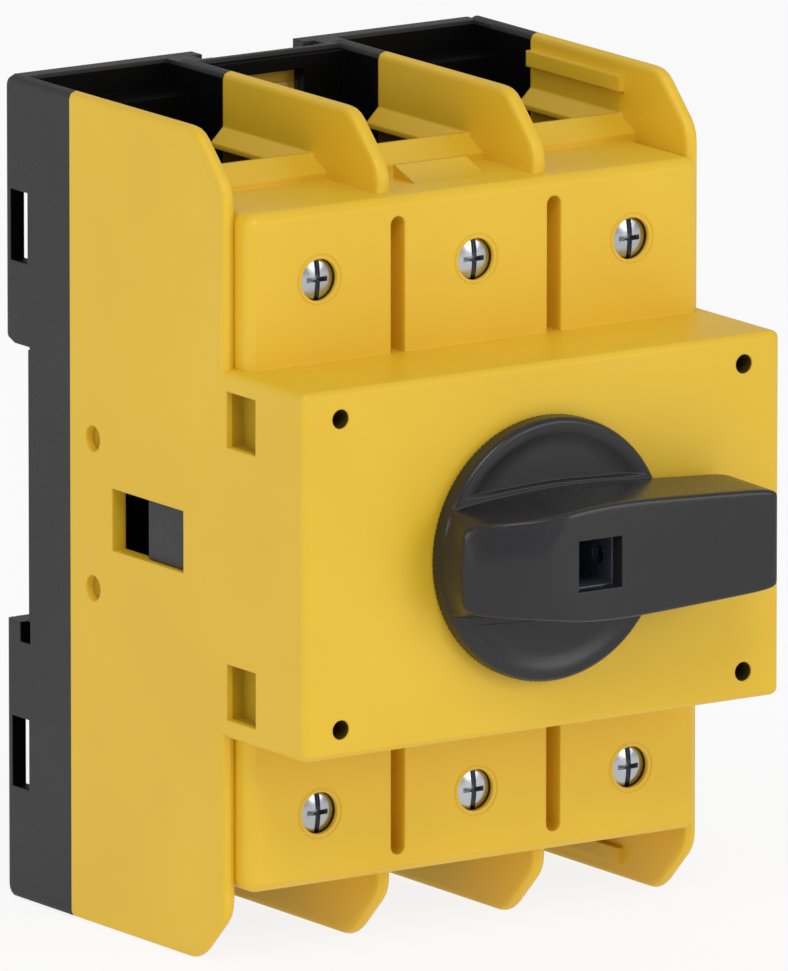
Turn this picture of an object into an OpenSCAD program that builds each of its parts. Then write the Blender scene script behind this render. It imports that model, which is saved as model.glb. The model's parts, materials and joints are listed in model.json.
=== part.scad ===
// Three pole switch disconnector for a 35 mm rail, with a rotary handle.
// X runs across the poles, Y runs from the handle back to the rail, Z is up.
// The origin is the middle of the seat that rests on the rail.

/* [Housing] */
// Distance from pole to pole, for a housing of four modules of 17.5 mm
pole_pitch = 22.9; // [21:0.1:26]
// Extra width on each side outside the outer poles
side_extra = 0.65; // [0.4:0.05:1.5]
// Reach of the fins over the terminal blocks
fin_reach = 9.6; // [8.6:0.1:12]
// Thickness of the outer walls
wall = 2; // [1.7:0.1:2.4]
// Thickness of the fins between the poles
fin_t = 2.2; // [1.8:0.1:2.6]
// Rounding of the free edges of the fins
edge_r = 0.9; // [0.5:0.1:0.9]
// Size of the bevel at the tips of the fins
fin_bevel = 6.6; // [5:0.2:8]
// Rounding at the tips of the fins
tip_r = 4.4; // [2:0.2:5]
// Rounding at the rear corners of the side walls
rear_r = 1.6; // [1:0.2:3]

/* [Depths from the rail seat] */
// Depth of the feet behind the rail seat
foot_d = 5.3; // [5.1:0.1:7]
// Thickness of the floor of the base
floor_t = 1.8; // [1.5:0.1:2.2]
// Rail seat to the joint of base and cover
parting_d = 9.4; // [8:0.2:11]
// Rail seat to the front of the fins
fin_d = 43.4; // [42.8:0.2:44.4]
// Rail seat to the front of the terminal blocks
block_d = 46.4; // [46.2:0.1:48]
// Rail seat to the front of the nose
nose_d = 61; // [60.6:0.2:64]

/* [Nose and terminal blocks] */
// Height of the nose, for a 45 mm cut-out
nose_h = 45.6; // [45:0.1:46.2]
// Rounding of the nose
nose_r = 1; // [0.6:0.1:1.6]
// Height of the terminal blocks above and below the nose
terminal_h = 19.3; // [18:0.1:22]
// Step from the side walls to the terminal blocks
block_inset = 1.9; // [1.2:0.1:1.9]
// Rounding of the terminal blocks
block_r = 1.6; // [1:0.1:2]
// Width of the grooves between the poles
groove_w = 2.05; // [1.6:0.05:2.4]
// Depth of the grooves between the poles
groove_d = 3.4; // [1.5:0.1:3.6]
// Distance from the end of the grooves to the edge of the block
groove_stop = 2.4; // [2:0.1:5]
// Distance from the side of the nose to the front holes
hole_side = 5.45; // [5:0.05:7]
// Distance from the top or bottom of the nose to the front holes
hole_edge = 3.6; // [3.4:0.1:5]
// Diameter of the four front holes
hole_dia = 2.4; // [2:0.1:3]
// Depth of the four front holes
hole_depth = 8; // [5:0.5:10]

/* [Wire funnels] */
// Rail seat to the rear edge of the funnel lip
lip_d = 28.7; // [28.2:0.1:30]
// Depth of the sloped funnel lip
lip_run = 3.8; // [3:0.1:4.6]
// Rise of the sloped funnel lip
lip_rise = 2; // [1:0.1:2.6]
// Small step in front of the funnel lip
lip_step = 0.8; // [0.5:0.1:1.2]
// Width of the sloped ledges beside each wire entry
ledge_w = 1.8; // [1:0.1:2.2]
// Thickness of the sloped ledges
ledge_t = 0.6; // [0.4:0.1:1]
// Height of the guide bars inside the outer walls
guide_h = 2; // [1.4:0.1:2.6]

/* [Side windows] */
// Front edge of the drive window, from the rail seat
window_front = 34.6; // [34.4:0.1:35.4]
// Length of the drive window
window_len = 15.8; // [15.6:0.1:17]
// Height of the drive window
window_h = 7.7; // [7:0.1:9]
// Height of the small snap windows
snap_h = 6.9; // [5:0.1:7.4]
// Length of the small snap windows
snap_len = 6.3; // [5:0.1:6.6]
// Diameter of the dimples in the side walls
dimple_dia = 3.2; // [2:0.1:4]
// Depth of the dimples in the side walls
dimple_depth = 1.2; // [0.6:0.1:1.3]

/* [Rail clip] */
// Width of the mounting rail
rail_w = 35; // [34.8:0.1:35.2]
// Depth of the hook over the edge of the rail
hook_lap = 0.9; // [0.6:0.1:1.2]
// Free space for the rail behind the hook
hook_gap = 2; // [1.8:0.1:2.4]
// Space above the rail under the upper foot
rail_play = 0.8; // [0.6:0.1:1.2]
// Width of the rail latch
latch_w = 14.4; // [13:0.1:15]
// Travel of the rail latch
latch_travel = 2.2; // [1.8:0.1:2.6]
// Width of the guide ears of the latch
ear_w = 1.7; // [1.2:0.1:2]

/* [Handle] */
// Diameter of the handle disc
disc_dia = 32.8; // [30:0.2:36]
// Height of the handle disc
disc_h = 2.4; // [2:0.1:3]
// Reach of the grip from the axis
grip_reach = 26.3; // [24:0.1:30]
// Height of the grip over the nose
grip_h = 12.3; // [11.5:0.1:14]
// Height of the low end of the grip
grip_low_h = 7.8; // [6.5:0.1:9]
// Half width of the grip at the axis
grip_half_w = 7.4; // [6.8:0.1:8]
// Half width of the grip at its two ends
grip_end_half_w = 6.3; // [5.8:0.1:6.8]
// Widening of the grip towards its foot
grip_draft = 0.5; // [0:0.1:0.8]
// Rounding of the grip
grip_r = 1.3; // [0.8:0.1:1.6]
// Square opening in the grip
opening_w = 6.35; // [6.2:0.05:6.8]
// Inside width of the square drive shaft
socket_w = 6.1; // [5.8:0.1:6.2]
// Outside width of the square drive shaft
shaft_w = 8.2; // [7.8:0.1:8.6]

/* [Mechanism] */
// Travel of the contact carriage
stroke = 6.6; // [6:0.1:6.8]
// Radius of the cam drum
drum_r = 8.2; // [7.9:0.1:8.3]
// Radius of the cam followers
follower_r = 1.5; // [1.2:0.1:1.6]
// Side room of a clamp in its pocket
clamp_side_gap = 1.7; // [0.6:0.1:2]
// Side room of a contact strip in its clamp
strip_gap = 1.1; // [0.5:0.1:1.4]
// Thickness of the contact strips
bar_t = 2.5; // [2:0.1:2.8]
// Distance from the terminal screws to the edge of the block
screw_drop = 9; // [8.6:0.1:9.4]
// Thread diameter of the terminal screws
screw_dia = 5; // [4:0.1:5]
// Thread pitch of the terminal screws
screw_pitch = 0.8; // [0.7:0.1:1]
// Travel of the wire clamps
clamp_travel = 8; // [6:0.2:8]

/* [Clearances] */
// Gap between parts that slide or fit
fit = 0.15; // [0.1:0.05:0.2]
// Gap all round a turning shaft or screw
turn_gap = 0.06; // [0.04:0.01:0.09]
// Gap between the handle and the nose
face_gap = 0.2; // [0.15:0.05:0.4]

/* [Hidden] */
POLES = [1, 2, 3];
ENDS = ["line", "load"];
$fn = 64;
soft_fn = 24;
over = 1;
body_w = 3 * pole_pitch + 2 * side_extra;
half_w = body_w / 2;
nose_z = nose_h / 2;
nose_in_z = nose_z - wall;
block_z = nose_z + terminal_h;
half_h = block_z + fin_reach;
groove_z = block_z - groove_stop;
hole_dx = body_w - 2 * hole_side;
hole_dz = nose_h - 2 * hole_edge;
screw_z = block_z - screw_drop;

// Poles and cells
function pole_x(p) = (p - 2) * pole_pitch;
function end_sign(e) = e == "line" ? 1 : -1;
bar_past_lip = 1.2;
fin_x = pole_pitch / 2;
mid_half = fin_x - fin_t / 2;
inner_x = half_w - wall;
// Left and right face of the cell of each pole
function cell_left(p) = p == 1 ? -inner_x : (p == 2 ? -mid_half : fin_x + fin_t / 2);
function cell_right(p) = -cell_left(4 - p);

// Clamps and screws
pocket_wall = 1.225;
pocket_half = (pole_pitch - groove_w) / 2 - pocket_wall;
clamp_wall = 1.9;
clamp_front_t = 3.5;
clamp_back = 12;
clamp_half_x = pocket_half - clamp_side_gap;
clamp_half_z = terminal_h / 2 - 4.45;
screw_head_r = 3.4;
screw_head_h = 3.6;
screw_head_back = block_d - screw_head_h;
screw_boss_back = screw_head_back - 1.8;
short_slot = 1.5;
access_r = 2.6;
skin = 0.7;
head_room_r = screw_head_r + 0.2;
boss_wall = 1.3;
dome_r = 8;
dome_drop = 0.45;

// Strips and contacts, by depth from the rail seat
bar_w = 2 * (clamp_half_x - clamp_wall - strip_gap);
strip_d = 24;
strip_front = strip_d + bar_t;
tip_t = 1.2;
inner_strip_d = 14.5;
inner_strip_front = inner_strip_d + bar_t;
tip_front = inner_strip_front + tip_t;
contact_gap = 0.1;
bridge_t = 2;
bridge_back = tip_front + contact_gap + stroke + tip_t;
bridge_front = bridge_back + bridge_t;
bridge_half = 15.5;
bridge_w = bar_w - 1;
tip_half = bar_w / 3;
tip_len = 6;
tip_z = 12.5;
strip_in_z = tip_z - tip_len / 2;
riser_z = 17.2;
strip_out_z = screw_z + clamp_half_z - 0.2;

// Carriage
carriage_t = 1.9;
spring_len = 5.8;
carriage_back = bridge_back - carriage_t;
carriage_front = bridge_front + spring_len + carriage_t + fit;
carriage_z = 6.5;
carriage_x = inner_x - 2 * fit;
mech_d = 40;
upright_x = drum_r + 0.3;
upright_t = 3;
upright_z = 4;
lug_z = window_h / 2 - fit;
lug_front = window_front - 0.5;
lug_len = window_len - stroke - 1;

// Rotor
neck_r = 6.4;
neck_front = nose_d + face_gap / 2;
drum_front = nose_d - wall - face_gap;
pin_inset = 6;
pin_off_d = drum_front - pin_inset;
collar_front = 45;
collar_w = 11;
plate_front = 41.8;
plate_t = 2;
collar_back = plate_front + face_gap;
journal_r = 4;
groove_floor_r = 6;
groove_half_angle = 30;
groove_lead = follower_r + 0.35;
shaft_front = nose_d + grip_h - 2.1;
shaft_back = 55.4;
cross_hole_r = 1.18;
cross_hole_inset = 3.05;
cross_hole_d = shaft_front - cross_hole_inset;
boss_z = nose_in_z - 5.3;
boss_r = 3.4;
plate_half_x = 6.4;
detent_z = collar_w / 2 + 0.35;
detent_t = 0.5;
detent_boss_r = 1.8;
detent_end = 3;
detent_x = upright_x + upright_t + detent_boss_r + 0.7;

clamp_front = strip_front + 0.5 + clamp_front_t;
cell_room = 4;
cell_front = clamp_front + cell_room;

// Screws that hold the base, and the small front pockets
housing_screw_x = half_w - 4.6;
housing_screw_z = nose_in_z - 7.8;
housing_screw_r = 1.45;
housing_screw_len = 20;
housing_head_r = 2.6;
cross_len = 1.6;
cross_w = 0.25;
housing_head_front = 2.15;
housing_head_back = 0.5;
column_r = 2.8;
pad_r = 3.1;
bearing_screw_r = 1.25;
bearing_screw_len = 8;
bearing_head_r = 2.4;
bearing_head_h = 1.6;
snap_front = 50.5;
snap_z = nose_z - 5.9;
snap_depth = 2.6;

// Rail clip
seat_top = rail_w / 2 + rail_play;
hook_z = rail_w / 2 - hook_lap;
hook_pocket_z = rail_w / 2 + 1.5;
channel_x = latch_w / 2 + 2 * fit;
ear_x = latch_w / 2 + ear_w;
channel_d = 0.4;
latch_back = foot_d - 0.4;
latch_front = channel_d + 0.3;
latch_top = half_h - 2.4;
ear_back = 2.6;
relief = 0.3;
dimple_d = 14.5;
dimple_z = 9.35;
stop_drop = 11.4;
spring_low = 21.6;
spring_high = latch_top - stop_drop;
spring_r = 1.6;
stop_half_w = 2.4;
stop_h = 2;

function cover_colour() = [0.93, 0.76, 0.2];
function base_colour() = [0.16, 0.16, 0.17];

// A box given by its low and high corners
module span(low, high) {
    translate(low) cube(high - low);
}

// A cylinder along Y from one depth to another, at a place across the front
module rod(x, z, r, front, back) {
    translate([x, -front, z]) rotate([-90, 0, 0]) cylinder(r = r, h = front - back);
}

// Copies for the upper and the lower half
module both_ends() {
    children();
    mirror([0, 0, 1]) children();
}

// Copies for the left and the right side
module both_sides() {
    children();
    mirror([1, 0, 0]) children();
}

// A plate across X with rounded corners and softly rounded free edges
module soft_plate(x0, t, corners, r, e) {
    hull() for (c = corners) for (a = [0, 45, 90]) {
        side = e * (1 - cos(a));
        inset = e * (1 - sin(a));
        translate([x0 + side, c[0], c[1]]) rotate([0, 90, 0])
            cylinder(r = r - inset, h = t - 2 * side, $fn = soft_fn);
    }
}

// A post along Y with a domed front end, in steps
module soft_post(x, z, r, front, back) {
    for (a = [20, 45, 70, 90]) rod(x, z, r * sin(a), front - r * (1 - cos(a)), back, $fn = soft_fn);
}

// A block with round front corners
module soft_block(hx, z0, z1, front, back, r) {
    hull() for (x = [-hx + r, hx - r]) for (z = [z0 + r, z1 - r]) soft_post(x, z, r, front, back);
}

// Outline of the outer walls and fins, as the centres of their corner rounds
fin_corners = [
    for (s = [-1, 1]) each [
        [over - tip_r, s * (half_h - tip_r)],
        [-fin_d + fin_bevel + 0.4 * tip_r, s * (half_h - tip_r)],
        [-fin_d + tip_r, s * (half_h - fin_bevel - 0.4 * tip_r)]
    ]
];

module cover_walls() {
    for (s = [0, 1]) mirror([s, 0, 0]) {
        soft_plate(inner_x, wall, fin_corners, tip_r, edge_r);
        soft_plate(mid_half, fin_t, fin_corners, tip_r, edge_r);
    }
}

// Sloped lips and ledges that lead a wire into its clamp
module funnel(p) {
    left = cell_left(p);
    right = cell_right(p);
    lip_top = block_z + lip_step + lip_rise;
    translate([left - 0.5, 0, 0]) rotate([90, 0, 90]) linear_extrude(right - left + 1)
        polygon([[-lip_d - lip_run, block_z - 1], [-lip_d - lip_run, block_z + lip_step],
            [-lip_d, lip_top], [-lip_d, block_z - 1]]);
    for (side = [[left, 1], [right, -1]])
        translate([side[0], -parting_d, 0]) rotate([90, 0, 0]) linear_extrude(lip_d - parting_d + 1)
            polygon([[-side[1] * 0.5, lip_top], [0, lip_top], [side[1] * ledge_w, lip_top - ledge_w],
                [side[1] * ledge_w, lip_top - ledge_w - ledge_t], [-side[1] * 0.5, lip_top - ledge_w - ledge_t]]);
}

// Ramp on the middle pole that a terminal shroud snaps over
module shroud_wedge() {
    wedge_w = 10.6;
    wedge_h = 1.65;
    wedge_front = 41;
    wedge_back = 36.2;
    translate([-wedge_w / 2, 0, 0]) rotate([90, 0, 90]) linear_extrude(wedge_w)
        polygon([[-wedge_front, block_z - 0.5], [-wedge_front, block_z], [-wedge_back, block_z + wedge_h],
            [-wedge_back, block_z - 0.5]]);
}

// Bars inside the outer walls that guide a terminal shroud
module guide_bars() {
    bar_z = half_h - 4.1;
    both_sides() span([inner_x - 0.7, -lip_d - bar_past_lip, bar_z], [inner_x + 0.5, -parting_d, bar_z + guide_h]);
}

// Space for the wire clamp behind each terminal block
module terminal_pocket(p) {
    roof = block_z - wall;
    x = pole_x(p);
    span([x - pocket_half, -block_d + wall, nose_z], [x + pocket_half, -cell_front + over / 2, roof]);
    span([cell_left(p), -cell_front, nose_z], [cell_right(p), -parting_d + over, roof]);
    span([cell_left(p), -lip_d, roof - 1], [cell_right(p), -parting_d + over, block_z + 0.01]);
}

module nose_cavity() {
    span([-inner_x, -nose_d + wall, -nose_in_z], [inner_x, -mech_d, nose_in_z]);
    for (p = POLES)
        span([cell_left(p), -mech_d - 0.5, -nose_in_z], [cell_right(p), -parting_d + over, nose_in_z]);
    span([-inner_x, -mech_d - 0.5, -carriage_z - 0.5], [inner_x, -parting_d + over, carriage_z + 0.5]);
}

// Bosses on the inside of the cover
module cover_bosses() {
    rear = nose_d - wall + 0.5;
    for (sx = [-1, 1]) for (sz = [-1, 1]) {
        rod(sx * hole_dx / 2, sz * hole_dz / 2, hole_dia / 2 + 1.6, rear, nose_d - hole_depth - 1);
        rod(sx * housing_screw_x, sz * housing_screw_z, column_r, rear, parting_d);
        rod(sx * detent_x, sz * detent_z, detent_boss_r, rear, collar_back);
    }
    for (sz = [-1, 1]) rod(0, sz * boss_z, boss_r, rear, plate_front);
    for (p = POLES) both_ends() rod(pole_x(p), screw_z, head_room_r + boss_wall, block_d - 1, screw_boss_back);
    both_sides() both_ends() span([inner_x - 1.8, -snap_front - 1.5, snap_z - snap_h / 2 - 1],
        [inner_x + 0.2, -snap_front + snap_len + 1.5, snap_z + snap_h / 2 + 0.2]);
}

// Holes and windows that go in from outside or from the bosses
module cover_openings() {
    rod(0, 0, neck_r + turn_gap, nose_d + over, nose_d - wall - over);
    for (sx = [-1, 1]) for (sz = [-1, 1]) {
        rod(sx * hole_dx / 2, sz * hole_dz / 2, hole_dia / 2, nose_d + over, nose_d - hole_depth);
        rod(sx * housing_screw_x, sz * housing_screw_z, housing_screw_r + turn_gap, housing_screw_len + 2, parting_d - over);
    }
    for (sz = [-1, 1]) {
        rod(0, sz * boss_z, bearing_screw_r + turn_gap, plate_front + bearing_screw_len + over, plate_front - over);
        span([-detent_x - detent_end, -collar_front, sz * detent_z - detent_t / 2 - 0.05],
            [detent_x + detent_end, -collar_back + over, sz * detent_z + detent_t / 2 + 0.05]);
    }
    for (p = POLES) both_ends() {
        rod(pole_x(p), screw_z, access_r, block_d + over, block_d - skin - 0.1);
        rod(pole_x(p), screw_z, head_room_r, block_d - skin, screw_boss_back - over);
        strip_slot(p);
        access_ring(p);
    }
    for (s = [-1, 1]) both_ends() pole_groove(s * fin_x);
    both_sides() {
        span([inner_x - 0.5, -window_front, -window_h / 2], [half_w + over, -window_front + window_len, window_h / 2]);
        for (sz = [-1, 1]) translate([half_w - dimple_depth, -dimple_d, sz * dimple_z]) rotate([0, 90, 0])
            cylinder(d = dimple_dia, h = over + dimple_depth);
        both_ends() snap_window();
    }
}

// Slot in the cross wall for the contact strip
module strip_slot(p) {
    x = pole_x(p);
    span([x - bar_w / 2 - 2 * fit, -strip_front - 2 * fit, nose_in_z - 0.5],
        [x + bar_w / 2 + 2 * fit, -parting_d + over, nose_z + 0.5]);
}

// Fine ring round each screw hole
module access_ring(p) {
    ring_r = 3.1;
    difference() {
        rod(pole_x(p), screw_z, ring_r + 0.1, block_d + over, block_d - 0.15);
        rod(pole_x(p), screw_z, ring_r - 0.1, block_d + 2 * over, block_d - 0.3);
    }
}

// Round ended groove between two poles
module pole_groove(x) {
    end_z = groove_z - groove_w / 2;
    span([x - groove_w / 2, -block_d - over, nose_z - 0.01], [x + groove_w / 2, -block_d + groove_d, end_z]);
    rod(x, end_z, groove_w / 2, block_d + over, block_d - groove_d);
}

// Pocket with a sloped floor for a coupling hook
module snap_window() {
    translate([0, 0, snap_z - snap_h / 2]) linear_extrude(snap_h)
        polygon([[half_w + over, -snap_front], [half_w + over, -snap_front + snap_len],
            [half_w - snap_depth, -snap_front + snap_len], [half_w - 1.2, -snap_front]]);
}

module front_cover() {
    color(cover_colour()) difference() {
        union() {
            difference() {
                union() {
                    cover_walls();
                    soft_block(half_w, -nose_z, nose_z, nose_d, -over, nose_r);
                    both_ends() {
                        soft_block(half_w - block_inset, nose_in_z - 4, block_z, block_d, lip_d + 1, block_r);
                        for (p = POLES) funnel(p);
                        shroud_wedge();
                        guide_bars();
                    }
                }
                for (p = POLES) both_ends() terminal_pocket(p);
                nose_cavity();
                span([-half_w - over, -parting_d, -half_h - over], [half_w + over, 5, half_h + over]);
            }
            intersection() {
                cover_bosses();
                span([-half_w, -nose_d + 0.5, -half_h], [half_w, -parting_d, half_h]);
            }
        }
        cover_openings();
    }
}

// Outline of the side walls of the base, as the centres of their corner rounds
base_corners = [
    for (s = [-1, 1]) each [
        [foot_d - rear_r, s * (half_h - rear_r)],
        [-parting_d - 2, s * (half_h - rear_r)]
    ]
];
rib_corners = [
    for (s = [-1, 1]) each [
        [0.5, s * (half_h - rear_r)],
        [-parting_d - 2, s * (half_h - rear_r)]
    ]
];
foot_pocket_top = half_h - 5.4;
slot_high = foot_pocket_top - 8.8;
slot_low = slot_high - 8.9;
slot_back = 3.87;

module base_shell() {
    both_sides() {
        soft_plate(inner_x, wall, base_corners, rear_r, edge_r);
        soft_plate(mid_half, fin_t, rib_corners, rear_r, edge_r);
    }
    span([-inner_x - 0.5, -floor_t, -half_h + edge_r], [inner_x + 0.5, 0, half_h - edge_r]);
    for (sz = [-1, 1]) span([-inner_x - 0.5, -0.5, sz > 0 ? seat_top : -half_h + 0.3],
        [inner_x + 0.5, foot_d, sz > 0 ? half_h - 0.3 : -hook_z]);
    both_ends() span([-inner_x - 0.5, -parting_d, nose_in_z], [inner_x + 0.5, -floor_t + 0.5, nose_z]);
}

// Hollows of the two feet, open at the rear
module foot_hollows() {
    wall_x = ear_x + 3 * fit + wall;
    both_sides() {
        span([wall_x, 0, seat_top + wall], [inner_x, foot_d + over, foot_pocket_top]);
        span([1.2, 0, -foot_pocket_top], [inner_x, foot_d + over, -hook_pocket_z - wall]);
    }
}

// Guide channel of the rail latch with its side grooves
module latch_channel() {
    span([-channel_x, channel_d, seat_top - over], [channel_x, foot_d + over, half_h + over]);
    span([-ear_x - fit, channel_d + fit, seat_top + wall], [ear_x + fit, ear_back + 2 * fit, half_h + over]);
}

module rail_notch() {
    span([-half_w - over, 0, -hook_z], [half_w + over, foot_d + over, seat_top]);
    span([-half_w - over, -relief, -hook_pocket_z], [half_w + over, hook_gap, -hook_z + 0.4]);
    translate([-half_w - over, 0, 0]) rotate([90, 0, 90]) linear_extrude(body_w + 2 * over)
        polygon([[3, seat_top], [foot_d + over, seat_top + 1.3], [foot_d + over, seat_top - 1], [3, seat_top - 1]]);
    span([-half_w - over, -relief, seat_top - 0.4], [half_w + over, 0.01, seat_top]);
    span([-channel_x, -relief, seat_top - 2.5], [channel_x, 0.5, seat_top + 0.01]);
}

module base() {
    color(base_colour()) difference() {
        union() {
            difference() {
                base_shell();
                foot_hollows();
                latch_channel();
                rail_notch();
                // Wire chambers reach back over the feet at their mouths
                both_ends() for (p = [1, 3])
                    span([cell_left(p), -floor_t - 0.1, half_h - 4], [cell_right(p), 3.1, half_h + over]);
                span([-4.5, -floor_t - 0.1, half_h - 7.7], [4.5, channel_d + 0.1, latch_top - 0.2]);
                both_sides() both_ends()
                    span([inner_x - 0.5, 0.06, slot_low], [half_w + over, slot_back, slot_high]);
                span([-half_w - over, -parting_d - 9, -half_h - over], [half_w + over, -parting_d, half_h + over]);
            }
            // Pedestals under the contact strips and pads for the screws
            for (p = POLES) both_ends()
                span([pole_x(p) - bar_w / 2, -inner_strip_d, strip_in_z + 0.5],
                    [pole_x(p) + bar_w / 2, -floor_t + 0.5, riser_z + 1.5]);
            for (sx = [-1, 1]) for (sz = [-1, 1])
                rod(sx * housing_screw_x, sz * housing_screw_z, pad_r, parting_d, 0);
            // Stop that the latch spring pushes against
            span([-stop_half_w, channel_d - 0.2, spring_high], [stop_half_w, latch_back - 0.3, spring_high + stop_h]);
        }
        for (sx = [-1, 1]) for (sz = [-1, 1]) {
            rod(sx * housing_screw_x, sz * housing_screw_z, housing_screw_r + 2 * turn_gap, parting_d + over, housing_head_back);
            rod(sx * housing_screw_x, sz * housing_screw_z, housing_head_r + 0.2, housing_head_front + 0.05, -over);
        }
    }
}

module housing_screws() {
    color("silver") for (sx = [-1, 1]) for (sz = [-1, 1]) difference() {
        union() {
            rod(sx * housing_screw_x, sz * housing_screw_z, housing_screw_r, housing_screw_len + 1, 1);
            rod(sx * housing_screw_x, sz * housing_screw_z, housing_head_r, housing_head_front, housing_head_back);
        }
        for (w = [[cross_len, cross_w], [cross_w, cross_len]])
            span([sx * housing_screw_x - w[0], -1.4, sz * housing_screw_z - w[1]],
                [sx * housing_screw_x + w[0], over, sz * housing_screw_z + w[1]]);
    }
}

// Latch that snaps behind the upper edge of the rail
module rail_latch() {
    hook_tip = rail_w / 2 - hook_lap;
    half = latch_w / 2;
    color(cover_colour()) difference() {
        union() {
            span([-half, latch_front, seat_top + 0.4], [half, latch_back, latch_top]);
            span([-ear_x, channel_d + 2 * fit, seat_top + wall + 2], [ear_x, ear_back, latch_top]);
            // Hook with a slope at its rear that rides over the rail
            translate([-half, 0, 0]) rotate([90, 0, 90]) linear_extrude(latch_w)
                polygon([[1.3, hook_tip], [2.1, hook_tip], [latch_back, hook_tip + 1.8],
                    [latch_back, seat_top + 1], [1.3, seat_top + 1]]);
        }
        // Window for the spring and the stop of the base
        span([-3, 0, spring_low - 0.1], [3, foot_d, spring_high + stop_h + latch_travel + 1]);
        // Slot for the tip of a screwdriver
        span([-3.7, 0, latch_top - 5.8], [3.7, foot_d, latch_top - 2.2]);
    }
}

// Wire wound round an axis along local Z
module coil(r, wire_r, len, turns) {
    seg = 12;
    sides = 6;
    n = turns * seg;
    pitch_len = len - 2 * wire_r;
    pts = [
        for (i = [0:n]) for (j = [0:sides - 1])
            let (a = 360 * i / seg, b = 360 * j / sides, q = r + wire_r * cos(b))
            [q * cos(a), q * sin(a), wire_r + pitch_len * i / n + wire_r * sin(b)]
    ];
    walls = [
        for (i = [0:n - 1]) for (j = [0:sides - 1])
            [i * sides + j, (i + 1) * sides + j, (i + 1) * sides + (j + 1) % sides, i * sides + (j + 1) % sides]
    ];
    first = [for (j = [0:sides - 1]) j];
    last = [for (j = [0:sides - 1]) n * sides + sides - 1 - j];
    polyhedron(points = pts, faces = concat(walls, [first], [last]), convexity = 10);
}

module latch_spring() {
    color("silver") translate([0, (channel_d + latch_back) / 2, spring_low])
        coil(spring_r, 0.25, spring_high - spring_low - 0.05, 8);
}

// Stations along the grip, each with its place, half width and height over the nose
grip_rise = grip_h - grip_low_h;
grip_widening = grip_half_w - grip_end_half_w;
grip_foot = 1.6;
grip_stations = [
    [-disc_dia / 2 + grip_r + 0.1, 1.8, grip_low_h - 0.3],
    [-disc_dia / 2 + grip_r + 0.9, grip_end_half_w - 0.7, grip_low_h],
    [-disc_dia * 0.38, grip_end_half_w - 0.1, grip_low_h + 0.47 * grip_rise],
    [-disc_dia * 0.29, grip_end_half_w + 0.35 * grip_widening, grip_low_h + 0.84 * grip_rise],
    [-disc_dia * 0.22, grip_end_half_w + 0.6 * grip_widening, grip_h],
    [disc_dia * 0.05, grip_half_w, grip_h],
    [disc_dia * 0.4, grip_end_half_w + 0.6 * grip_widening, grip_h],
    [grip_reach - grip_r, grip_end_half_w, grip_h]
];

// One grip as a hull over its stations, wider at the foot than at the front
module grip_body() {
    foot_r = 0.6;
    hull() for (g = grip_stations) for (s = [-1, 1]) {
        soft_post(g[0], s * (g[1] - grip_r), grip_r, nose_d + g[2], nose_d + grip_foot);
        rod(g[0], s * (g[1] + grip_draft - foot_r), foot_r, nose_d + grip_foot + 1, nose_d + grip_foot, $fn = 12);
    }
}

module knob() {
    disc_r = disc_dia / 2;
    disc_back = nose_d + face_gap;
    disc_front = disc_back + disc_h;
    high_front = nose_d + grip_h;
    dish_z = grip_half_w + grip_draft + 0.3;
    dish_depth = 0.6;
    rim_w = 1.2;
    color(base_colour()) difference() {
        union() {
            translate([0, -disc_back, 0]) rotate([90, 0, 0]) rotate_extrude()
                polygon([[0, 0], [disc_r, 0], [disc_r - 0.2, disc_h - 0.6], [disc_r - 0.6, disc_h], [0, disc_h]]);
            grip_body();
        }
        // Dished faces above and below the grip
        both_ends() intersection() {
            translate([0, -disc_front - over, 0]) rotate([-90, 0, 0])
                cylinder(r1 = disc_r - rim_w + 0.8, r2 = disc_r - rim_w - 0.8, h = 2 * over);
            translate([-disc_r, 0, 0]) rotate([90, 0, 90]) linear_extrude(disc_dia)
                polygon([[-disc_front - over, dish_z], [-disc_front, dish_z], [-disc_front + dish_depth, dish_z + 0.6],
                    [-disc_front + dish_depth, disc_r], [-disc_front - over, disc_r]]);
        }
        span([-opening_w / 2, -high_front - over, -opening_w / 2], [opening_w / 2, -shaft_front, opening_w / 2]);
        span([-shaft_w / 2 - fit / 2, -shaft_front - fit, -shaft_w / 2 - fit / 2],
            [shaft_w / 2 + fit / 2, -nose_d, shaft_w / 2 + fit / 2]);
    }
}

module drive_shaft() {
    color("silver") difference() {
        span([-shaft_w / 2, -shaft_front, -shaft_w / 2], [shaft_w / 2, -shaft_back, shaft_w / 2]);
        span([-socket_w / 2, -shaft_front - over, -socket_w / 2], [socket_w / 2, -shaft_back + over, socket_w / 2]);
        translate([-shaft_w, -cross_hole_d, 0]) rotate([0, 90, 0]) cylinder(r = cross_hole_r, h = 2 * shaft_w);
    }
}

// One helical groove that turns the drum as its follower moves back
module cam_groove() {
    len = stroke + 2 * groove_lead;
    turn = 90 / stroke;
    out_r = drum_r + 2;
    angles = [-groove_half_angle : groove_half_angle / 2 : groove_half_angle];
    translate([0, -pin_off_d - groove_lead, 0]) rotate([-90, 0, 0])
        linear_extrude(len, twist = turn * len, slices = 14) rotate(turn * groove_lead)
        polygon(concat([for (a = angles) [groove_floor_r * cos(a), groove_floor_r * sin(a)]],
            [for (a = angles) [out_r * cos(-a), out_r * sin(-a)]]));
}

module cam_drum() {
    color("dimgray") difference() {
        union() {
            rod(0, 0, neck_r, neck_front, drum_front - 1);
            rod(0, 0, drum_r, drum_front, collar_front);
            span([-collar_w / 2, -collar_front - 1, -collar_w / 2], [collar_w / 2, -collar_back, collar_w / 2]);
            rod(0, 0, journal_r, collar_back + 1, plate_front - plate_t + 0.1);
        }
        cam_groove();
        rotate([0, 180, 0]) cam_groove();
        span([-shaft_w / 2 - fit / 2, -neck_front - over, -shaft_w / 2 - fit / 2],
            [shaft_w / 2 + fit / 2, -shaft_back + fit, shaft_w / 2 + fit / 2]);
    }
}

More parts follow.
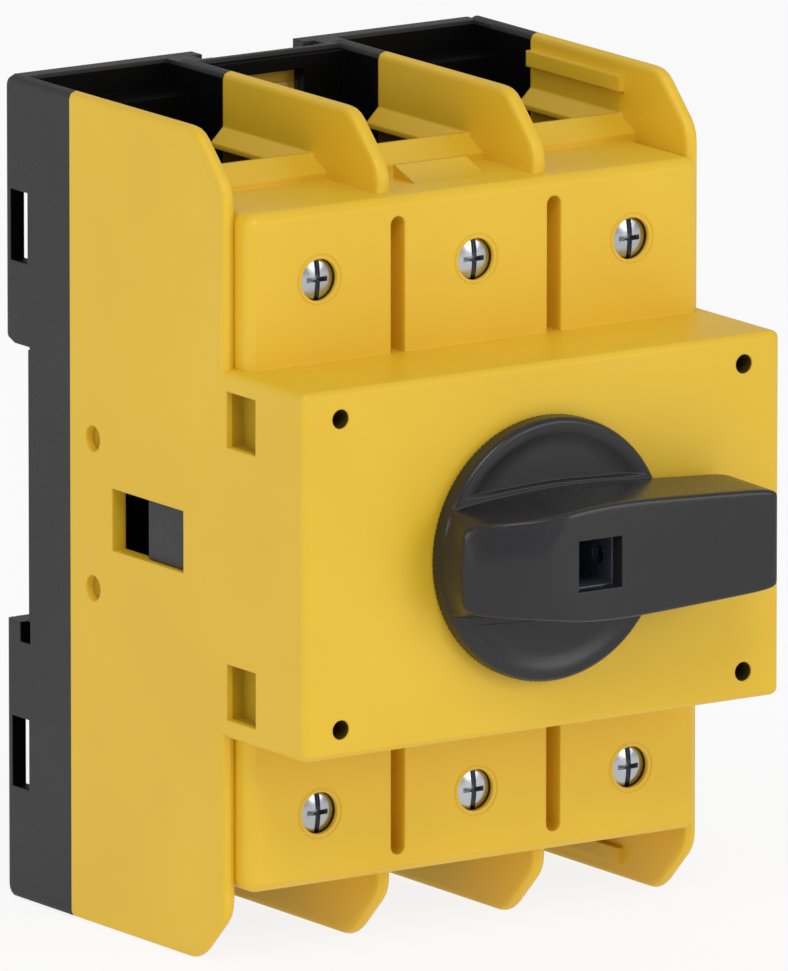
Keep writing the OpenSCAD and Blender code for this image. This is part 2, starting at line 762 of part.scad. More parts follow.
// Plate across the rear of the drum that carries its journal
module bearing_plate() {
    plate_z = nose_in_z - 2 * fit;
    color("gray") difference() {
        span([-plate_half_x, -plate_front, -plate_z], [plate_half_x, -plate_front + plate_t, plate_z]);
        rod(0, 0, journal_r + turn_gap, plate_front + over, plate_front - plate_t - over);
        for (sz = [-1, 1])
            rod(0, sz * boss_z, bearing_screw_r + 2 * turn_gap, plate_front + over, plate_front - plate_t - over);
    }
}

module bearing_screws() {
    head_d = plate_front - plate_t;
    color("silver") for (sz = [-1, 1]) difference() {
        union() {
            rod(0, sz * boss_z, bearing_screw_r, plate_front + bearing_screw_len, head_d - 0.5);
            rod(0, sz * boss_z, bearing_head_r, head_d, head_d - bearing_head_h);
        }
        for (w = [[1.4, 0.25], [0.25, 1.4]])
            span([-w[0], -head_d + 0.9, sz * boss_z - w[1]], [w[0], -head_d + 3, sz * boss_z + w[1]]);
    }
}

// Leaf spring that rests on one flat of the square collar
module detent_spring(s) {
    color("silver")
        span([-detent_x - 1.6, -collar_front + 0.2, s * detent_z - detent_t / 2],
            [detent_x + 1.6, -collar_back - 0.2, s * detent_z + detent_t / 2]);
}

module contact_carriage() {
    color("dimgray") difference() {
        union() {
            span([-carriage_x, -carriage_front, -carriage_z], [carriage_x, -carriage_back, carriage_z]);
            both_sides() {
                span([carriage_x - 0.5, -lug_front, -lug_z], [half_w - 0.7, -lug_front + lug_len, lug_z]);
                span([upright_x, -pin_off_d - 2.2, -upright_z], [upright_x + upright_t, -carriage_front + 0.5, upright_z]);
                translate([groove_floor_r + 0.4, -pin_off_d, 0]) rotate([0, 90, 0])
                    cylinder(r = follower_r, h = upright_x - groove_floor_r + 0.6);
            }
        }
        for (p = POLES)
            span([pole_x(p) - bridge_w / 2 - fit, -carriage_front + carriage_t, -carriage_z - over],
                [pole_x(p) + bridge_w / 2 + fit, -bridge_back, carriage_z + over]);
    }
}

// Bridge that joins the two strips of a pole, with a contact tip at each end
module moving_contact(p) {
    x = pole_x(p);
    color([0.78, 0.5, 0.32]) union() {
        span([x - bridge_w / 2, -bridge_front, -bridge_half], [x + bridge_w / 2, -bridge_back, bridge_half]);
        both_ends() span([x - tip_half, -bridge_back, tip_z - tip_len / 2], [x + tip_half, -bridge_back + tip_t, tip_z + tip_len / 2]);
    }
}

module contact_spring(p) {
    color("silver") translate([pole_x(p), -bridge_front - fit / 2, 0]) rotate([90, 0, 0])
        coil(2.8, 0.3, spring_len, 5);
}

// Strip from the clamp to the fixed contact tip
module fixed_contact(p) {
    x = pole_x(p);
    low = x - bar_w / 2;
    high = x + bar_w / 2;
    color([0.78, 0.5, 0.32]) union() {
        span([low, -strip_front, riser_z], [high, -strip_d, strip_out_z]);
        span([low, -strip_front, riser_z], [high, -inner_strip_d, riser_z + bar_t]);
        span([low, -inner_strip_front, strip_in_z], [high, -inner_strip_d, riser_z + bar_t]);
        span([x - tip_half, -tip_front, tip_z - tip_len / 2], [x + tip_half, -inner_strip_front, tip_z + tip_len / 2]);
    }
}

// Cage that the screw pulls forward to grip the wire
module wire_clamp(p) {
    x = pole_x(p);
    z0 = screw_z - clamp_half_z;
    z1 = screw_z + clamp_half_z;
    color("silver") difference() {
        span([x - clamp_half_x, -clamp_front, z0], [x + clamp_half_x, -clamp_back, z1]);
        span([x - clamp_half_x + clamp_wall, -clamp_front + clamp_front_t, z0 - over],
            [x + clamp_half_x - clamp_wall, -clamp_back - clamp_wall, z1 + over]);
        rod(x, screw_z, screw_dia / 2 + turn_gap, clamp_front + over, clamp_front - clamp_front_t - over);
    }
}

module terminal_screw(p) {
    x = pole_x(p);
    dome_top = block_d - dome_drop;
    color("silver") difference() {
        union() {
            intersection() {
                rod(x, screw_z, screw_head_r, dome_top + over, screw_head_back);
                translate([x, -dome_top + dome_r, screw_z]) sphere(r = dome_r);
            }
            rod(x, screw_z, screw_dia / 2, screw_head_back + 0.5, strip_front + 0.1);
        }
        // Long slot with a short cross
        span([x - 0.35, -dome_top - over, screw_z - screw_head_r - over], [x + 0.35, -dome_top + 1.2, screw_z + screw_head_r + over]);
        span([x - short_slot, -dome_top - over, screw_z - 0.3], [x + short_slot, -dome_top + 1.4, screw_z + 0.3]);
    }
}

base();
front_cover();
housing_screws();
rail_latch();
latch_spring();
knob();
drive_shaft();
cam_drum();
bearing_plate();
bearing_screws();
detent_spring(1);  // detent_spring_upper
detent_spring(-1);  // detent_spring_lower
contact_carriage();
for (p = POLES) {
    moving_contact(p);
    contact_spring(p);
    for (e = ENDS) mirror([0, 0, e == "line" ? 0 : 1]) {
        fixed_contact(p);
        wire_clamp(p);
        terminal_screw(p);
    }
}
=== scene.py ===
"""Looks of a rail mounted switch disconnector: materials, rounded shells, handle, lamps and camera."""

import json
import math

import bpy
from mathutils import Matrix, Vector


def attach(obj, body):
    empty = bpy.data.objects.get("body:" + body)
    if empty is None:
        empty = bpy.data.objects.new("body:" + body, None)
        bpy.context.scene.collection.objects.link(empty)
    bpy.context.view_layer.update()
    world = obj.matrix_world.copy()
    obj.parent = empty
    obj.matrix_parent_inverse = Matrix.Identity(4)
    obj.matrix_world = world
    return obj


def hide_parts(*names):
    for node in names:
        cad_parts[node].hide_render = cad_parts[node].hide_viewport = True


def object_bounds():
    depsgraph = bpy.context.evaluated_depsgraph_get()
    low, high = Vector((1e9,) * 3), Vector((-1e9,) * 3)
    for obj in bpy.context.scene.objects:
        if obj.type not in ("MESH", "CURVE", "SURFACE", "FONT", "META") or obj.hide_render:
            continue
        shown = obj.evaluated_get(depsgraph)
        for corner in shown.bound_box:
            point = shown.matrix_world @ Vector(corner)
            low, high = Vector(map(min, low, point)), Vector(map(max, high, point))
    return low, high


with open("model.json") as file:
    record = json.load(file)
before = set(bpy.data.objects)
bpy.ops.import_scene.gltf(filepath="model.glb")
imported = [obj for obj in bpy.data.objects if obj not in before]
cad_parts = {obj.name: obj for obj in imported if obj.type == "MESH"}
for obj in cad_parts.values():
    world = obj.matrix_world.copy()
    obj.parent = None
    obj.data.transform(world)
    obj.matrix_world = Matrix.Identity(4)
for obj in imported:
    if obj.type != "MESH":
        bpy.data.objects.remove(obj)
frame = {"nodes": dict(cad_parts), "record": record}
NODES = frame["nodes"]
MM = 0.001
# Sizes and places are in millimetres up to the stage, and in metres from there.
# How near a vertex lies to the place that it is picked by, and a place beyond every piece
SAME = 0.01
NEAR = 0.1
BEYOND = 99


def plain(pair):
    return [list(map(float, corner)) for corner in pair]


cad_box = plain(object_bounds())


# Selecting and editing

def deselect():
    bpy.ops.object.select_all(action="DESELECT")


def only(obj):
    """Selects one object, and nothing else."""
    deselect()
    obj.select_set(True)
    bpy.context.view_layer.objects.active = obj
    return obj


def pick(obj, verts=None, edges=None):
    """Enters edit mode with the vertices or edges selected that pass the test, in millimetres."""
    only(obj)
    mesh = obj.data
    for group in (mesh.vertices, mesh.edges, mesh.polygons):
        group.foreach_set("select", [False] * len(group))
    co = [v.co / MM for v in mesh.vertices]
    if verts:
        bpy.context.tool_settings.mesh_select_mode = (True, False, False)
        for v in mesh.vertices:
            v.select = bool(verts(co[v.index]))
    if edges:
        bpy.context.tool_settings.mesh_select_mode = (False, True, False)
        for e in mesh.edges:
            if edges(co[e.vertices[0]], co[e.vertices[1]]):
                e.select = True
                mesh.vertices[e.vertices[0]].select = True
                mesh.vertices[e.vertices[1]].select = True
    bpy.ops.object.mode_set(mode="EDIT")


def pick_all(obj):
    pick(obj, verts=lambda c: True)


def done():
    bpy.ops.object.mode_set(mode="OBJECT")


def move(x=0.0, z=0.0):
    """Moves what is selected, in millimetres."""
    bpy.ops.transform.translate(value=(x * MM, 0, z * MM))


def stretch(x=1.0, y=1.0, z=1.0, about=(0, 0, 0)):
    """Stretches what is selected about a place in millimetres."""
    bpy.ops.transform.resize(value=(x, y, z), center_override=[c * MM for c in about])


def raise_sheet(height):
    """Pulls the selected sheet forward and leaves its front selected."""
    bpy.ops.mesh.extrude_region_move(TRANSFORM_OT_translate={"value": (0, -height * MM, 0)})


def apply_all(obj):
    only(obj)
    for m in list(obj.modifiers):
        bpy.ops.object.modifier_apply(modifier=m.name)


def round_edges(obj, width, segments, angle):
    m = obj.modifiers.new("rounding", "BEVEL")
    m.width = width * MM
    m.segments = segments
    m.limit_method = "ANGLE"
    m.angle_limit = math.radians(angle)
    m.use_clamp_overlap = True
    m.harden_normals = False
    apply_all(obj)


def cut_away(obj, tool):
    """Takes the tool's shape out of the object, and deletes the tool."""
    m = obj.modifiers.new("join", "BOOLEAN")
    m.operation = "DIFFERENCE"
    m.solver = "EXACT"
    m.object = tool
    apply_all(obj)
    bpy.data.objects.remove(tool)


def smooth(obj, angle):
    """Smooth shading over shallow edges, with flat faces kept flat."""
    only(obj)
    bpy.ops.object.shade_smooth_by_angle(angle=math.radians(angle))
    m = obj.modifiers.new("flat_faces", "WEIGHTED_NORMAL")
    m.keep_sharp = True
    m.weight = 80
    apply_all(obj)


def place_in_mesh(obj):
    bpy.ops.object.transform_apply(location=True, rotation=True, scale=True)
    return obj


def square_piece(name, half, front, back):
    """A square bar on the axis of the handle."""
    deselect()
    bpy.ops.mesh.primitive_cube_add(size=1, location=(0, (front + back) / 2 * MM, 0))
    obj = bpy.context.active_object
    obj.name = name
    obj.scale = (2 * half * MM, (back - front) * MM, 2 * half * MM)
    return place_in_mesh(obj)


def disc_sheet(name, radius, y, points):
    """A flat round sheet across the axis of the handle."""
    deselect()
    bpy.ops.mesh.primitive_circle_add(
        vertices=points, radius=radius * MM, fill_type="NGON",
        location=(0, y * MM, 0), rotation=(math.pi / 2, 0, 0),
    )
    obj = bpy.context.active_object
    obj.name = name
    return place_in_mesh(obj)


def cut_sheet(obj, z, side):
    """Cuts off what lies nearer to the axis than z, on the given side of it."""
    pick_all(obj)
    bpy.ops.mesh.bisect(plane_co=(0, 0, side * z * MM), plane_no=(0, 0, -side), clear_outer=True)
    done()


def solid_normals(obj):
    pick_all(obj)
    bpy.ops.mesh.normals_make_consistent(inside=False)
    done()


# Materials

def new_material(name):
    mat = bpy.data.materials.new(name)
    mat.use_nodes = True
    nodes = mat.node_tree.nodes
    nodes.clear()
    out = nodes.new("ShaderNodeOutputMaterial")
    bsdf = nodes.new("ShaderNodeBsdfPrincipled")
    mat.node_tree.links.new(bsdf.outputs["BSDF"], out.inputs["Surface"])
    return mat, nodes, mat.node_tree.links, bsdf


def noise(nodes, links, coords, scale, detail):
    tex = nodes.new("ShaderNodeTexNoise")
    tex.inputs["Scale"].default_value = scale
    tex.inputs["Detail"].default_value = detail
    links.new(coords.outputs["Object"], tex.inputs["Vector"])
    return tex.outputs["Fac"]


# A noise value below the first counts as low, and one above the second as high
NOISE_LOW = 0.3
NOISE_HIGH = 0.7


def grey(nodes, links, value, low, high):
    """A number that goes from low to high as the noise rises."""
    node = nodes.new("ShaderNodeMapRange")
    for key, number in (("From Min", NOISE_LOW), ("From Max", NOISE_HIGH), ("To Min", low), ("To Max", high)):
        node.inputs[key].default_value = number
    links.new(value, node.inputs["Value"])
    return node.outputs["Result"]


def tint(nodes, links, value, low, high):
    """A colour that goes from low to high as the noise rises."""
    node = nodes.new("ShaderNodeValToRGB")
    for element, position, colour in zip(node.color_ramp.elements, (NOISE_LOW, NOISE_HIGH), (low, high)):
        element.position = position
        element.color = (*colour, 1)
    links.new(value, node.inputs["Fac"])
    return node.outputs["Color"]


def calculate(nodes, links, operation, *inputs):
    """A Math node, whose inputs are numbers or sockets."""
    node = nodes.new("ShaderNodeMath")
    node.operation = operation
    for socket, given in zip(node.inputs, inputs):
        if isinstance(given, (int, float)):
            socket.default_value = given
        else:
            links.new(given, socket)
    return node.outputs["Value"]


def painted_shade(nodes, links, coords, painted_shade_boxes):
    """Painted shade: how far each place is darkened. Each box has a middle and a half width of |x|, y and
    |z|, and how much shade is painted in it.
    """
    parts = nodes.new("ShaderNodeSeparateXYZ")
    links.new(coords.outputs["Object"], parts.inputs["Vector"])
    place = (
        calculate(nodes, links, "ABSOLUTE", parts.outputs["X"]),
        parts.outputs["Y"],
        calculate(nodes, links, "ABSOLUTE", parts.outputs["Z"]),
    )
    total = 0.0
    for *box, dark in painted_shade_boxes:
        found = dark
        for value, (middle, half) in zip(place, box):
            within = calculate(nodes, links, "COMPARE", value, middle * MM, half * MM)
            found = calculate(nodes, links, "MULTIPLY", found, within)
        total = calculate(nodes, links, "MAXIMUM", total, found)
    return total


# Colour clouds, grain and softened edges
CLOUD_SCALE = 45.0
CLOUD_DETAIL = 3.0
GRAIN_DETAIL = 5.0
GRAIN_DEPTH = 0.02
EDGE_SAMPLES = 6
# Painted shade: share of the colour that is left in the darkest hollow, and the gloss there
PAINTED_SHADE_COLOUR = 0.02
PAINTED_SHADE_GLOSS = 0.05


def surface(name, low, high, rough, grain, bump, edge, metal=0.0, gloss=0.5, painted_shade_boxes=()):
    """Plastic or metal: cloudy colour, uneven roughness, fine grain, rounded edges and painted shade in
    hollow places.
    """
    mat, nodes, links, bsdf = new_material(name)
    coords = nodes.new("ShaderNodeTexCoord")
    broad = noise(nodes, links, coords, CLOUD_SCALE, CLOUD_DETAIL)
    fine = noise(nodes, links, coords, grain, GRAIN_DETAIL)
    colour = tint(nodes, links, broad, low, high)
    bsdf.inputs["Specular IOR Level"].default_value = gloss
    # Painted shade: the boxes given darken the colour towards near black and dull the gloss where shade falls
    # in hollow places
    if painted_shade_boxes:
        shade_amount = painted_shade(nodes, links, coords, painted_shade_boxes)
        mix = nodes.new("ShaderNodeMix")
        mix.data_type = "RGBA"
        links.new(shade_amount, mix.inputs["Factor"])
        links.new(colour, mix.inputs["A"])
        mix.inputs["B"].default_value = (*[PAINTED_SHADE_COLOUR * c for c in low], 1)
        colour = mix.outputs["Result"]
        shade_gloss = nodes.new("ShaderNodeMapRange")
        shade_gloss.inputs["To Min"].default_value = gloss
        shade_gloss.inputs["To Max"].default_value = PAINTED_SHADE_GLOSS
        links.new(shade_amount, shade_gloss.inputs["Value"])
        links.new(shade_gloss.outputs["Result"], bsdf.inputs["Specular IOR Level"])
    links.new(colour, bsdf.inputs["Base Color"])
    links.new(grey(nodes, links, fine, *rough), bsdf.inputs["Roughness"])
    bsdf.inputs["Metallic"].default_value = metal
    relief = nodes.new("ShaderNodeBump")
    relief.inputs["Strength"].default_value = bump
    relief.inputs["Distance"].default_value = GRAIN_DEPTH * MM
    links.new(fine, relief.inputs["Height"])
    if edge:
        soft = nodes.new("ShaderNodeBevel")
        soft.samples = EDGE_SAMPLES
        soft.inputs["Radius"].default_value = edge * MM
        links.new(soft.outputs["Normal"], relief.inputs["Normal"])
    links.new(relief.outputs["Normal"], bsdf.inputs["Normal"])
    return mat


# Painted shade in hollow places that daylight hardly reaches, with how dark each is painted. In the cover:
# front holes, snap windows, dimples and wire chambers
COVER_PAINTED_SHADE = (
    ((29.55, 1.3), (-56.8, 3.95), (19.2, 1.3), 0.9),
    ((32.9, 1.3), (-47.3, 3.4), (16.9, 3.6), 0.42),
    ((33.5, 0.5), (-14.5, 1.7), (9.35, 1.7), 0.32),
    ((16.5, 16.4), (-20.0, 11.5), (21.0, 21.4), 0.85),
)
# Painted shade in the base: wire chambers, their mouths at the rear, side slots and the pocket of the hook
BASE_PAINTED_SHADE = (
    ((16.5, 16.53), (-5.2, 5.05), (25.0, 25.9), 0.92),
    ((16.5, 16.53), (1.5, 1.7), (49.2, 1.7), 0.92),
    ((33.7, 1.25), (1.97, 1.95), (33.05, 4.47), 0.95),
    ((33.7, 1.25), (0.85, 1.2), (17.6, 1.45), 0.95),
)
# Painted shade in the terminal screws: the cross recess in each head, long across and long upwards
POLE_PITCH = 22.9
RECESS_ARMS = ((0.37, 3.3), (1.52, 0.32))
RECESS_PAINTED_SHADE = tuple(
    ((pole * POLE_PITCH, wide), (-44.75, 0.3), (33.1, high), 0.6)
    for pole in (0, 1)
    for wide, high in RECESS_ARMS
)
# Each finish: darkest and lightest colour, roughness, grain scale, grain strength, softened edge, metal
YELLOW = surface(
    "yellow_plastic", (0.77, 0.485, 0.022), (0.81, 0.520, 0.028), (0.38, 0.48), 2600.0, 0.25, 0.35,
    gloss=0.42, painted_shade_boxes=COVER_PAINTED_SHADE,
)
LATCH = surface("latch_plastic", (0.74, 0.480, 0.040), (0.79, 0.520, 0.050), (0.42, 0.52), 2600.0, 0.25, 0.3)
BLACK = surface(
    "black_plastic", (0.020, 0.020, 0.0205), (0.026, 0.026, 0.0265), (0.42, 0.56), 2600.0, 0.3, 0.25,
    gloss=0.36, painted_shade_boxes=BASE_PAINTED_SHADE,
)
HANDLE = surface(
    "handle_plastic", (0.015, 0.015, 0.0165), (0.020, 0.020, 0.0215), (0.22, 0.30), 3000.0, 0.12, 0.2,
    gloss=0.4,
)
INNER = surface("inner_plastic", (0.020, 0.020, 0.021), (0.030, 0.030, 0.031), (0.45, 0.6), 2000.0, 0.3, 0.2)
ZINC = surface("zinc_steel", (0.42, 0.44, 0.47), (0.54, 0.56, 0.58), (0.16, 0.26), 900.0, 0.1, 0.12, 1.0)
# Terminal screws: zinc steel with painted shade in the cross recesses
SCREW = surface(
    "screw_steel", (0.42, 0.44, 0.47), (0.54, 0.56, 0.58), (0.16, 0.26), 900.0, 0.1, 0.12, 1.0,
    painted_shade_boxes=RECESS_PAINTED_SHADE,
)
SHAFT = surface("shaft_steel", (0.10, 0.12, 0.16), (0.14, 0.165, 0.21), (0.24, 0.34), 900.0, 0.1, 0.12, 0.6)
SPRING = surface("spring_steel", (0.48, 0.48, 0.49), (0.60, 0.60, 0.61), (0.20, 0.32), 1200.0, 0.2, 0.0, 1.0)
COPPER = surface("contact_metal", (0.70, 0.40, 0.24), (0.80, 0.48, 0.30), (0.25, 0.40), 900.0, 0.3, 0.15, 1.0)
SLOTS = {
    "cover_plastic": YELLOW,
    "latch_plastic": LATCH,
    "base_plastic": BLACK,
    "handle_plastic": HANDLE,
    "mechanism_plastic": INNER,
    "zinc_steel": ZINC,
    "spring_steel": SPRING,
    "contact_metal": COPPER,
}


def dress(obj, mat):
    obj.data.materials.clear()
    obj.data.materials.append(mat)


def finish_of(node, slot):
    """The drive shaft has a finish of its own, and the terminal screws have painted shade in their cross
    recesses.
    """
    if node == "drive_shaft":
        return SHAFT
    if "_screw_" in node:
        return SCREW
    return SLOTS[slot]


for part in frame["record"]["subparts"]:
    dress(NODES[part["node"]], finish_of(part["node"], part["material_slot"]))


# Rounded shells

MERGE = 0.002
FLAT_ANGLE = 0.6
ROUND_ANGLE = 34
SHELL_SMOOTH = 28


def rounded_copy(node, name, body, mat, width):
    """A merged copy of a CAD piece with real small roundings, which stands for it."""
    source = NODES[node]
    obj = bpy.data.objects.new(name, source.data.copy())
    bpy.context.scene.collection.objects.link(obj)
    pick_all(obj)
    bpy.ops.mesh.remove_doubles(threshold=MERGE * MM)
    bpy.ops.mesh.customdata_custom_splitnormals_clear()
    bpy.ops.mesh.dissolve_limited(angle_limit=math.radians(FLAT_ANGLE))
    done()
    round_edges(obj, width, 2, ROUND_ANGLE)
    smooth(obj, SHELL_SMOOTH)
    dress(obj, mat)
    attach(obj, body)
    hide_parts(node)
    return obj


rounded_copy("front_cover", "front_shell", "housing", YELLOW, 0.12)
rounded_copy("base", "base_shell", "housing", BLACK, 0.15)
rounded_copy("rail_latch", "latch_body", "latch", LATCH, 0.2)


# Handle

DISC_R = 16.4
DISC_BACK = -61.2
DISC_FRONT = -63.6
RIDGES = 144
# Share of the radius that is left between two ridges, and where they end short of the front
RIDGE_ROOT = 0.9945
RIDGE_END = DISC_FRONT + 0.7
# Steps that round the front edge of the disc: height, and share of the width that is left
RIM_STEPS = ((0.3, 0.993), (0.25, 0.988), (0.25, 0.975))
RIM_HEIGHT = 0.8
# Dishes in the front of the disc: radius, segments, depth, straight edge beside the grip, middle, and
# the share of the whole that the floor starts from
DISH_R = DISC_R - 2.6
DISH_POINTS = 144
DISH_DEPTH = 0.6
DISH_EDGE = 8.0
DISH_MIDDLE = 8.4
DISH_FLOOR = 0.7
# The straight edge has this many parts, and is pushed out by so much, less its share towards the ends
DISH_PARTS = 8
DISH_BOW = 0.35
BOW_FADE = 0.038
# Steps of a dish from its floor up: height, growth along the grip and across it, shift to the grip
DISH_STEPS = (
    (0.12, 1.25, 1.25, 0.0), (0.18, 1.18, 1.2, 0.1), (0.3, 1.14, 1.24, 0.25), (1.0, 1.02, 1.0, 0.0),
)

# Grip: its foot, its full height over that, and half the width of its foot before it is shaped
GRIP_BACK = -62.6
GRIP_HEIGHT = 10.7
GRIP_HALF = 7.0
# Layers from the foot to the front, and the height of the middle level. Its width lies between those of
# the front and the foot, by this share of the front's
GRIP_LAYERS = (1.0, 4.0, 4.6, 1.1)
GRIP_MIDDLE = 5.0
MIDDLE_SHARE = 0.45
# Rows of the blank on each side of the axis, one apart, with their half widths in the grip
GRIP_ROWS = ((3, GRIP_HALF), (2, 5.9), (1, 3.0))
# Outer rows follow the whole bend of their column, and inner rows a share of it
BENT_ROWS = ((4.8, BEYOND, 1.0), (2.0, 4.8, 0.2))
# Columns: place, rise of the front, half width at the front and at the foot, bend towards the axis
GRIP = (
    (-16.35, 4.9, 5.5, 6.7, 1.3),
    (-15.2, 6.7, 5.7, 6.9, 1.3),
    (-12.6, 8.5, 6.0, 7.2, 1.5),
    (-9.8, 9.9, 6.3, 7.5, 1.9),
    (-7.9, 10.5, 6.6, 7.6, 2.6),
    (-7.2, GRIP_HEIGHT, 6.8, 7.7, 2.8),
    (-2.6, GRIP_HEIGHT, 7.1, 7.8, 0.8),
    (2.5, GRIP_HEIGHT, 7.35, 7.9, 0.0),
    (8.0, GRIP_HEIGHT, 7.2, 7.7, 0.0),
    (14.0, GRIP_HEIGHT, 6.9, 7.2, 0.0),
    (20.0, GRIP_HEIGHT, 6.6, 6.8, 0.0),
    (24.7, GRIP_HEIGHT, 6.35, 6.55, 0.0),
    (26.33, GRIP_HEIGHT, 5.85, 6.05, 0.0),
)
# The blank of the grip is made this far off the axis, with its columns so far apart
BLANK_X = -100
BLANK_COLUMN = 5

# Square opening in the front of the grip, and the wider bore behind it: half width, front and back
OPENING = (3.175, -75, -70)
BORE = (4.2, -71.3, -60)
HANDLE_SMOOTH = 32


def dish_tool(side):
    """The shape of one dish: a shallow bowl between the rim and the side of the grip."""
    dish = disc_sheet("dish_tool", DISH_R, DISC_FRONT + DISH_DEPTH, DISH_POINTS)
    cut_sheet(dish, DISH_EDGE, side)
    pick(dish, edges=lambda a, b: max(abs(a.z), abs(b.z)) < DISH_EDGE + SAME)
    bpy.ops.mesh.subdivide(number_cuts=DISH_PARTS - 1)
    done()
    pitch = 2 * math.sqrt(DISH_R**2 - DISH_EDGE**2) / DISH_PARTS
    for place in range(1 - DISH_PARTS // 2, DISH_PARTS // 2):
        pick(dish, verts=lambda c: abs(c.x - pitch * place) < NEAR and abs(c.z) < DISH_EDGE + SAME)
        move(z=side * (DISH_BOW - BOW_FADE * place * place))
        done()
    middle = (0, 0, side * DISH_MIDDLE)
    pick_all(dish)
    move(z=side * DISH_BOW)
    stretch(DISH_FLOOR, 1, DISH_FLOOR, middle)
    for height, longer, wider, shift in DISH_STEPS:
        raise_sheet(height)
        stretch(longer, 1, wider, middle)
        move(z=-side * shift)
    done()
    solid_normals(dish)
    return dish


def handle_disc():
    """The round foot of the handle, with fine ridges on its rim and two dished faces."""
    points = 2 * RIDGES
    disc = disc_sheet("handle", DISC_R, DISC_BACK, points)
    pick_all(disc)
    raise_sheet(DISC_BACK - DISC_FRONT - RIM_HEIGHT)
    for height, narrower in RIM_STEPS:
        raise_sheet(height)
        stretch(narrower, 1, narrower)
    done()
    step = 2 * math.pi / points
    pick(disc, verts=lambda c: c.y > RIDGE_END and round(math.atan2(c.z, c.x) / step) % 2 == 0)
    stretch(RIDGE_ROOT, 1, RIDGE_ROOT)
    done()
    solid_normals(disc)
    for side in (1, -1):
        cut_away(disc, dish_tool(side))
    return disc


def grip_blank():
    """A plain block with the columns, rows and layers of the grip."""
    columns = len(GRIP) - 1
    rows = 2 * len(GRIP_ROWS)
    deselect()
    bpy.ops.mesh.primitive_grid_add(
        x_subdivisions=columns, y_subdivisions=rows, size=1,
        location=(BLANK_X * MM, 0, 0), rotation=(math.pi / 2, 0, 0),
    )
    block = bpy.context.active_object
    block.name = "grip"
    block.scale = (columns * BLANK_COLUMN * MM, rows * MM, 1)
    block.location = (BLANK_X * MM, GRIP_BACK * MM, 0)
    place_in_mesh(block)
    pick_all(block)
    for height in GRIP_LAYERS:
        raise_sheet(height)
    done()
    solid_normals(block)
    return block


def shape_column(block, at, x, rise, top, foot, bend):
    """Gives one column of the blank its height, its widths and its bend, and moves it to its place."""
    middle = GRIP_BACK - rise * GRIP_MIDDLE / GRIP_HEIGHT
    pick(block, verts=lambda c: abs(c.x - at) < NEAR)
    stretch(1, rise / GRIP_HEIGHT, foot / GRIP_HALF, (0, GRIP_BACK, 0))
    done()
    pick(block, verts=lambda c: abs(c.x - at) < NEAR and abs(c.y - middle) < NEAR)
    stretch(z=(MIDDLE_SHARE * top + (1 - MIDDLE_SHARE) * foot) / foot)
    done()
    pick(block, verts=lambda c: abs(c.x - at) < NEAR and c.y < middle - NEAR)
    stretch(z=top / foot)
    done()
    for low, high, share in BENT_ROWS:
        pick(block, verts=lambda c: abs(c.x - at) < NEAR and low < abs(c.z) < high)
        move(x=bend * share)
        done()
    pick(block, verts=lambda c: at - NEAR < c.x < at + bend + NEAR)
    move(x=x - at)
    done()


def grip():
    """The grip: a smooth block whose left end runs down to the disc as a thumb ramp."""
    block = grip_blank()
    for row, half in GRIP_ROWS:
        for side in (1, -1):
            pick(block, verts=lambda c: abs(c.z - side * row) < NEAR)
            move(z=side * (half - row))
            done()
    for index, column in enumerate(GRIP):
        shape_column(block, BLANK_X + BLANK_COLUMN * (index - (len(GRIP) - 1) / 2), *column)
    m = block.modifiers.new("smooth_form", "SUBSURF")
    m.levels = 3
    m.render_levels = 3
    apply_all(block)
    return block


def whole_handle():
    """Disc and grip as one piece, bored for the drive shaft."""
    disc, block = handle_disc(), grip()
    cut_away(block, square_piece("opening_tool", *OPENING))
    for shell in (disc, block):
        cut_away(shell, square_piece("bore_tool", *BORE))
    only(disc)
    block.select_set(True)
    bpy.ops.object.join()
    return disc


handle = whole_handle()
smooth(handle, HANDLE_SMOOTH)
dress(handle, HANDLE)
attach(handle, "rotor")
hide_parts("knob")


# Stage, in metres

FLOOR_SIZE = 8
FLOOR_GAP = 0.02 * MM
# Share of glow in the floor's finish, and what is added to that share where the camera sees it
FLOOR_GLOW = 0.6
FLOOR_SEEN = 0.26
SKY_STRENGTH = 0.53


def stage_floor():
    deselect()
    bpy.ops.mesh.primitive_plane_add(size=FLOOR_SIZE, location=(0, 0, cad_box[0][2] - FLOOR_GAP))
    floor = bpy.context.active_object
    floor.name = "floor"
    mat, nodes, links, bsdf = new_material("floor_white")
    coords = nodes.new("ShaderNodeTexCoord")
    cloud = noise(nodes, links, coords, 3.0, 2.0)
    links.new(tint(nodes, links, cloud, (0.93, 0.93, 0.93), (0.96, 0.96, 0.96)), bsdf.inputs["Base Color"])
    bsdf.inputs["Roughness"].default_value = 0.9
    bsdf.inputs["Specular IOR Level"].default_value = 0.1
    glow = nodes.new("ShaderNodeEmission")
    glow.inputs["Strength"].default_value = 1.0
    path = nodes.new("ShaderNodeLightPath")
    share = calculate(nodes, links, "MULTIPLY_ADD", path.outputs["Is Camera Ray"], FLOOR_SEEN, FLOOR_GLOW)
    mix = nodes.new("ShaderNodeMixShader")
    links.new(share, mix.inputs["Fac"])
    links.new(bsdf.outputs["BSDF"], mix.inputs[1])
    links.new(glow.outputs["Emission"], mix.inputs[2])
    out = next(n for n in nodes if n.type == "OUTPUT_MATERIAL")
    links.new(mix.outputs["Shader"], out.inputs["Surface"])
    dress(floor, mat)


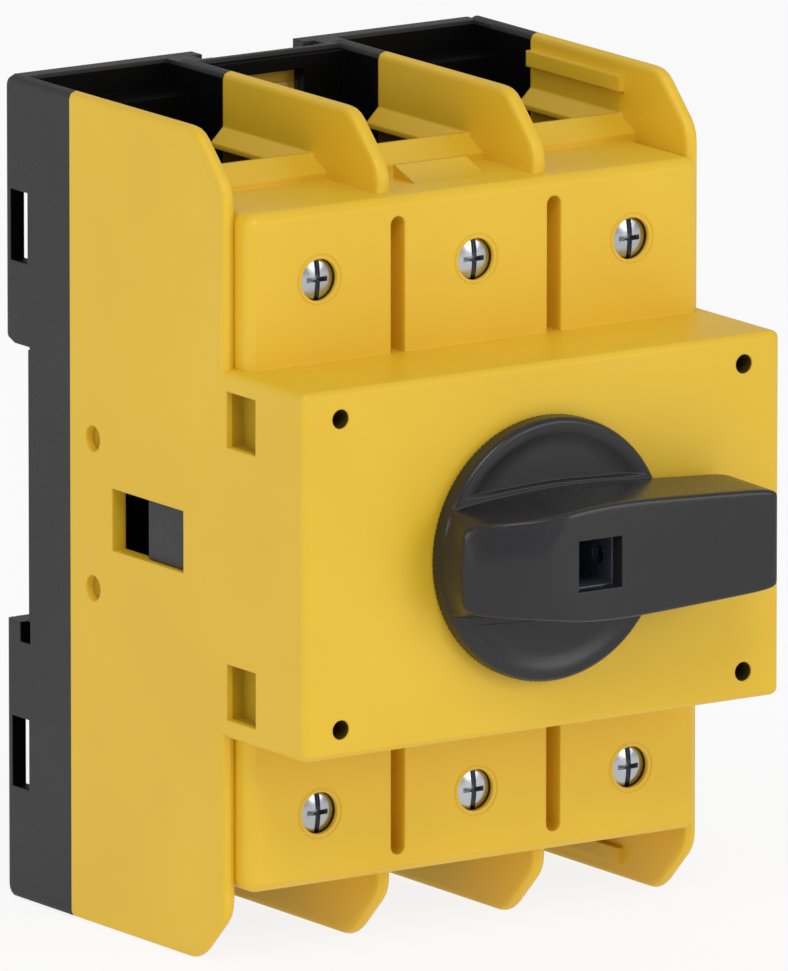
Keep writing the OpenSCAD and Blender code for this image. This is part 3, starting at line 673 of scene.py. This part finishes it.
def lamp(name, place, aim, size, power):
    data = bpy.data.lights.new(name, "AREA")
    data.shape = "DISK"
    data.size = size
    data.energy = power
    obj = bpy.data.objects.new(name, data)
    bpy.context.scene.collection.objects.link(obj)
    obj.location = place
    obj.rotation_euler = (Vector(aim) - Vector(place)).to_track_quat("-Z", "Y").to_euler()


def sky(strength):
    """A pale even light, seen by the camera as white."""
    world = bpy.data.worlds.new("studio")
    bpy.context.scene.world = world
    world.use_nodes = True
    nodes, links = world.node_tree.nodes, world.node_tree.links
    nodes.clear()
    out = nodes.new("ShaderNodeOutputWorld")
    seen = nodes.new("ShaderNodeBackground")
    lit = nodes.new("ShaderNodeBackground")
    mix = nodes.new("ShaderNodeMixShader")
    path = nodes.new("ShaderNodeLightPath")
    lit.inputs["Strength"].default_value = strength
    lit.inputs["Color"].default_value = (0.98, 0.99, 1.0, 1)
    seen.inputs["Color"].default_value = (1, 1, 1, 1)
    links.new(path.outputs["Is Camera Ray"], mix.inputs["Fac"])
    links.new(lit.outputs["Background"], mix.inputs[1])
    links.new(seen.outputs["Background"], mix.inputs[2])
    links.new(mix.outputs["Shader"], out.inputs["Surface"])


stage_floor()
sky(SKY_STRENGTH)
centre = (0, -0.03, 0)
lamp("key_lamp", (-0.5, -1.2, 1.5), centre, 0.9, 10.2)
lamp("front_lamp", (0.9, -1.6, 0.5), centre, 1.0, 6.3)
lamp("side_lamp", (-1.7, -0.4, 0.5), centre, 0.9, 4.8)

# Camera: degrees round and above the part, metres away, and how far its line of sight passes the centre
AZIMUTH = -33.81
ELEVATION = 12.0
DISTANCE = 2.8305
ASIDE = -0.915 * MM
ABOVE = 2.04 * MM
camera_data = bpy.data.cameras.new("camera")
camera_data.lens = 856.5
camera_data.sensor_width = 36
camera_data.clip_end = 30
camera = bpy.data.objects.new("camera", camera_data)
bpy.context.scene.collection.objects.link(camera)
camera.rotation_euler = (math.radians(90 - ELEVATION), 0, math.radians(AZIMUTH))
axes = camera.rotation_euler.to_matrix()
camera.location = Vector(centre) + axes @ Vector((ASIDE, ABOVE, DISTANCE))
bpy.context.scene.camera = camera
bpy.context.scene.view_settings.view_transform = "Standard"
